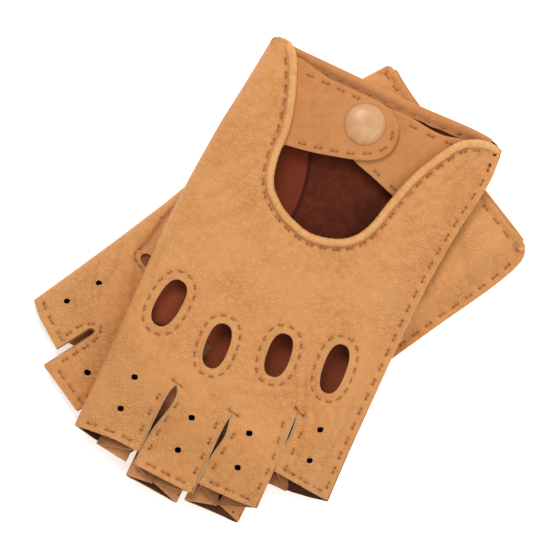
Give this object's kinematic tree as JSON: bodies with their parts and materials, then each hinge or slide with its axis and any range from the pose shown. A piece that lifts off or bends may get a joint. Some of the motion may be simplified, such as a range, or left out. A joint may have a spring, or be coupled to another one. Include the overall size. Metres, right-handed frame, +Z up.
{
  "type": "pair of fingerless driving gloves",
  "caption": "Pair of tan leather fingerless driving gloves laid one across the other, with knuckle holes, an open back window and a wrist strap that snaps shut.",
  "frame": {"origin": "bottom centre of the pair's box, on the surface it lies on", "axes": "+Z up; +Y along the upper (left) glove from its fingers to its wrist; +X across it from the index fold to the little finger"},
  "size_m": [0.174, 0.1952, 0.0256],
  "materials": {
    "glove_leather": "satin",
    "fourchette_leather": "satin",
    "piping": "satin",
    "strap_lining": "matte",
    "thread": "matte",
    "snap_cap": "satin",
    "snap_metal": "satin"
  },
  "bodies": {
    "right_hand": {"right_finger_thread": "thread", "right_fourchette_index_middle": "fourchette_leather", "right_fourchette_middle_ring": "fourchette_leather", "right_fourchette_ring_little": "fourchette_leather", "right_knuckle_thread": "thread", "right_side_seam_thread": "thread", "right_snap_post": "snap_metal", "right_snap_stud": "snap_metal", "right_strap_root": "glove_leather", "right_thumb": "glove_leather", "right_trank": "glove_leather", "right_underlap_lining": "strap_lining", "right_underlap_tab": "glove_leather", "right_underlap_thread": "thread", "right_window_piping": "piping", "right_window_thread": "thread", "right_wrist_hem_thread": "thread"},
    "right_strap": {"right_overlap_tab": "glove_leather", "right_overlap_lining": "strap_lining", "right_snap_cap": "snap_cap", "right_snap_socket": "snap_metal", "right_strap_thread": "thread"},
    "left_hand": {"left_finger_thread": "thread", "left_fourchette_index_middle": "fourchette_leather", "left_fourchette_middle_ring": "fourchette_leather", "left_fourchette_ring_little": "fourchette_leather", "left_knuckle_thread": "thread", "left_side_seam_thread": "thread", "left_snap_post": "snap_metal", "left_snap_stud": "snap_metal", "left_strap_root": "glove_leather", "left_thumb": "glove_leather", "left_trank": "glove_leather", "left_underlap_lining": "strap_lining", "left_underlap_tab": "glove_leather", "left_underlap_thread": "thread", "left_window_piping": "piping", "left_window_thread": "thread", "left_wrist_hem_thread": "thread"},
    "left_strap": {"left_overlap_tab": "glove_leather", "left_overlap_lining": "strap_lining", "left_snap_cap": "snap_cap", "left_snap_socket": "snap_metal", "left_strap_thread": "thread"}
  },
  "joints": [
    {"name": "left_glove_lift", "type": "slide", "parent": "right_hand", "child": "left_hand", "axis": [0, 0, 1], "range_m": [0, 0.12]},
    {"name": "left_strap_hinge", "type": "hinge", "parent": "left_hand", "child": "left_strap", "pos_m": [-0.02266, 0.06593, 0.02445], "axis": [0.1783, -0.984, 0], "range_deg": [0, 120]},
    {"name": "right_strap_hinge", "type": "hinge", "parent": "right_hand", "child": "right_strap", "pos_m": [0.00971, 0.07165, 0.00125], "axis": [0.3375, 0.9413, 0], "range_deg": [0, 120]}
  ]
}
